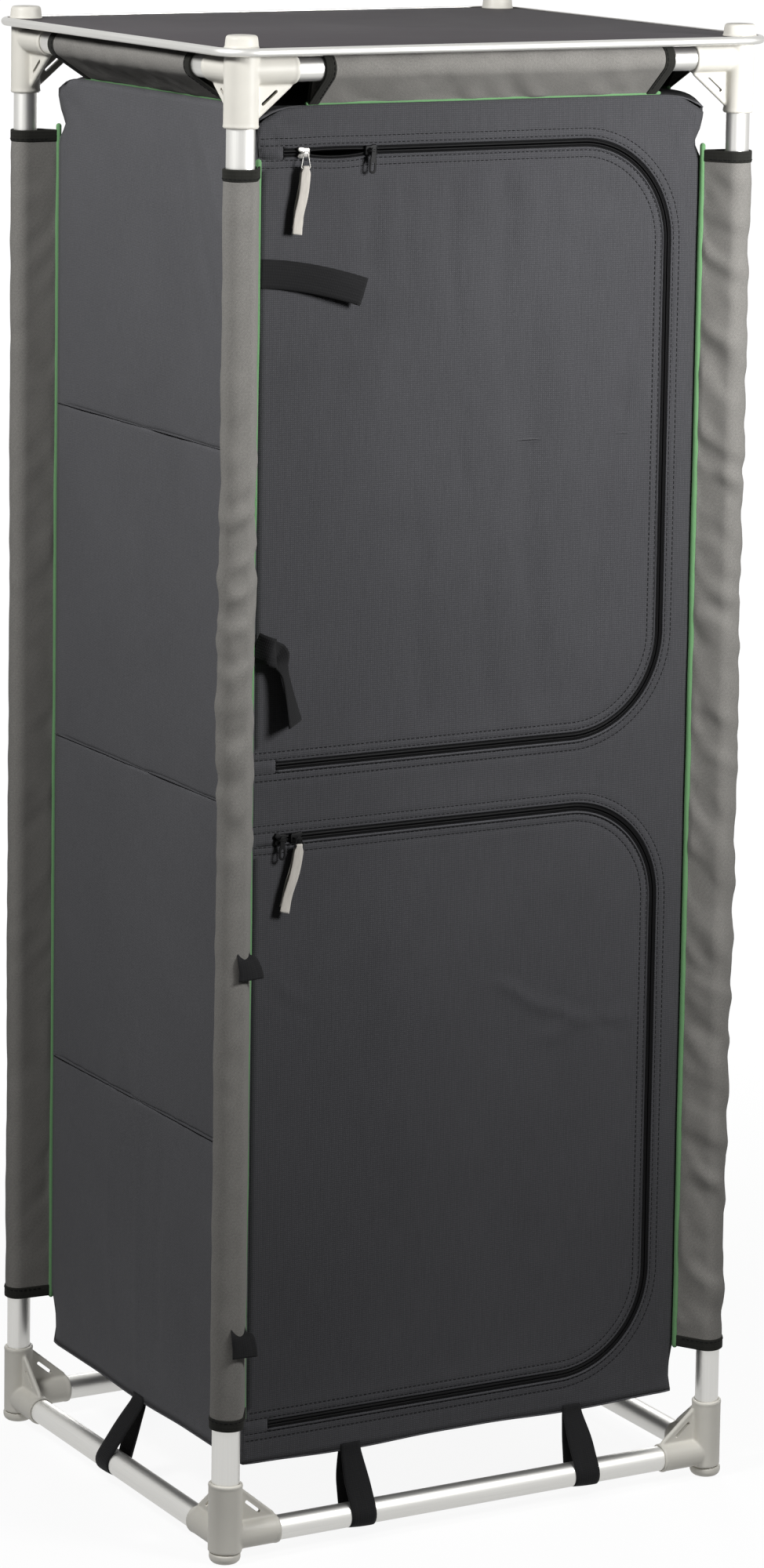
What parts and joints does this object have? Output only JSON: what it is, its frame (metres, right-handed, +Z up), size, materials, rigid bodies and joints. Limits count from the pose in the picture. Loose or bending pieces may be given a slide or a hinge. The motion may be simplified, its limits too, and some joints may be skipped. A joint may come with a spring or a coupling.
{
  "type": "camp kitchen cupboard",
  "caption": "Tall fabric camping cupboard with shelves and two zipped doors, hung in a frame of aluminium tubes with moulded corners and a lift-off table board.",
  "frame": {"origin": "centre of the footprint on the ground, under the feet", "axes": "+Z up; the doors face -Y; +X to the viewer's right when facing the doors"},
  "size_m": [0.55, 0.468, 1.3356],
  "materials": {
    "frame_aluminium": "satin clear-anodised drawn tube",
    "rim_aluminium": "satin anodised folded strip",
    "connector_plastic": "moulded warm light grey, fine texture",
    "foot_plastic": "moulded warm light grey",
    "plug_plastic": "moulded warm light grey, smooth",
    "board_laminate": "fibreboard faced with matt dark grey laminate",
    "body_fabric": "charcoal coated polyester with a fine square rip weave",
    "tunnel_fabric": "mid grey coated polyester",
    "shelf_fabric": "charcoal polyester over a stiff board",
    "binding_fabric": "black grosgrain binding tape",
    "piping_green": "green bias tape over cord",
    "webbing": "black woven polyester webbing",
    "zip_coil": "black nylon coil zip and its tape",
    "zip_nickel": "bright nickel plate",
    "zip_black": "black enamelled die casting",
    "pull_ribbon": "pale grey satin ribbon, folded double"
  },
  "bodies": {
    "cupboard": {"top_connector_front_left": "connector_plastic", "top_connector_front_right": "connector_plastic", "top_connector_back_left": "connector_plastic", "top_connector_back_right": "connector_plastic", "bottom_connector_front_left": "connector_plastic", "bottom_connector_front_right": "connector_plastic", "bottom_connector_back_left": "connector_plastic", "bottom_connector_back_right": "connector_plastic", "post_front_left": "frame_aluminium", "post_front_right": "frame_aluminium", "post_back_left": "frame_aluminium", "post_back_right": "frame_aluminium", "top_rail_front": "frame_aluminium", "top_rail_back": "frame_aluminium", "top_rail_left": "frame_aluminium", "top_rail_right": "frame_aluminium", "bottom_rail_front": "frame_aluminium", "bottom_rail_back": "frame_aluminium", "bottom_rail_left": "frame_aluminium", "bottom_rail_right": "frame_aluminium", "front_panel": "body_fabric", "back_panel": "body_fabric", "left_panel": "body_fabric", "right_panel": "body_fabric", "roof_panel": "body_fabric", "floor_panel": "body_fabric", "shelf_lower": "shelf_fabric", "shelf_middle": "shelf_fabric", "shelf_upper": "shelf_fabric", "post_tunnel_front_left": "tunnel_fabric", "post_tunnel_front_right": "tunnel_fabric", "post_tunnel_back_left": "tunnel_fabric", "post_tunnel_back_right": "tunnel_fabric", "rail_tunnel_front": "tunnel_fabric", "rail_tunnel_back": "tunnel_fabric", "rail_tunnel_left": "tunnel_fabric", "rail_tunnel_right": "tunnel_fabric", "lower_door_tie_top": "webbing", "lower_door_tie_bottom": "webbing"},
    "table_top": {"table_board": "board_laminate", "table_rim": "rim_aluminium", "table_plug_front_left": "plug_plastic", "table_plug_front_right": "plug_plastic", "table_plug_back_left": "plug_plastic", "table_plug_back_right": "plug_plastic"},
    "upper_door": {"upper_door": "body_fabric", "upper_door_tie_top": "webbing", "upper_door_tie_bottom": "webbing"},
    "lower_door": {"lower_door": "body_fabric"},
    "upper_slider_silver": {"upper_slider_silver": "zip_nickel"},
    "upper_slider_black": {"upper_slider_black": "zip_black"},
    "lower_slider_end": {"lower_slider_end": "zip_black"},
    "lower_slider_lead": {"lower_slider_lead": "zip_black"},
    "upper_ribbon_pull": {"upper_ribbon_pull": "pull_ribbon"},
    "upper_metal_pull": {"upper_metal_pull": "zip_black"},
    "lower_ribbon_pull": {"lower_ribbon_pull": "pull_ribbon"},
    "foot_front_left": {"foot_front_left": "foot_plastic"},
    "foot_front_right": {"foot_front_right": "foot_plastic"},
    "foot_back_left": {"foot_back_left": "foot_plastic"},
    "foot_back_right": {"foot_back_right": "foot_plastic"}
  },
  "joints": [
    {"name": "table_lift", "type": "slide", "parent": "cupboard", "child": "table_top", "axis": [0, 0, 1], "range_m": [0, 0.08]},
    {"name": "upper_door_hinge", "type": "hinge", "parent": "cupboard", "child": "upper_door", "pos_m": [-0.213, -0.191, 0.965], "axis": [0, 0, -1], "range_deg": [0, 90]},
    {"name": "lower_door_hinge", "type": "hinge", "parent": "cupboard", "child": "lower_door", "pos_m": [-0.213, -0.191, 0.3775], "axis": [0, 0, -1], "range_deg": [0, 90]},
    {"name": "upper_silver_slide", "type": "slide", "parent": "upper_door", "child": "upper_slider_silver", "axis": [1, 0, 0], "range_m": [-0.012, 0.04]},
    {"name": "upper_black_slide", "type": "slide", "parent": "upper_door", "child": "upper_slider_black", "axis": [1, 0, 0], "range_m": [-0.01, 0.2]},
    {"name": "lower_end_slide", "type": "slide", "parent": "lower_door", "child": "lower_slider_end", "axis": [1, 0, 0], "range_m": [0, 0.003]},
    {"name": "lower_lead_slide", "type": "slide", "parent": "lower_door", "child": "lower_slider_lead", "axis": [1, 0, 0], "range_m": [0, 0.26]},
    {"name": "upper_ribbon_swing", "type": "hinge", "parent": "upper_slider_silver", "child": "upper_ribbon_pull", "pos_m": [-0.181, -0.1979, 1.233], "axis": [-1, 0, 0], "range_deg": [0, 100]},
    {"name": "upper_metal_swing", "type": "hinge", "parent": "upper_slider_black", "child": "upper_metal_pull", "pos_m": [-0.1146, -0.1979, 1.233], "axis": [-1, 0, 0], "range_deg": [0, 100]},
    {"name": "lower_ribbon_swing", "type": "hinge", "parent": "lower_slider_lead", "child": "lower_ribbon_pull", "pos_m": [-0.179, -0.1979, 0.637], "axis": [-1, 0, 0], "range_deg": [0, 100]},
    {"name": "foot_front_left_screw", "type": "slide", "parent": "cupboard", "child": "foot_front_left", "axis": [0, 0, 1], "range_m": [-0.012, 0]},
    {"name": "foot_front_right_screw", "type": "slide", "parent": "cupboard", "child": "foot_front_right", "axis": [0, 0, 1], "range_m": [-0.012, 0]},
    {"name": "foot_back_left_screw", "type": "slide", "parent": "cupboard", "child": "foot_back_left", "axis": [0, 0, 1], "range_m": [-0.012, 0]},
    {"name": "foot_back_right_screw", "type": "slide", "parent": "cupboard", "child": "foot_back_right", "axis": [0, 0, 1], "range_m": [-0.012, 0]}
  ]
}
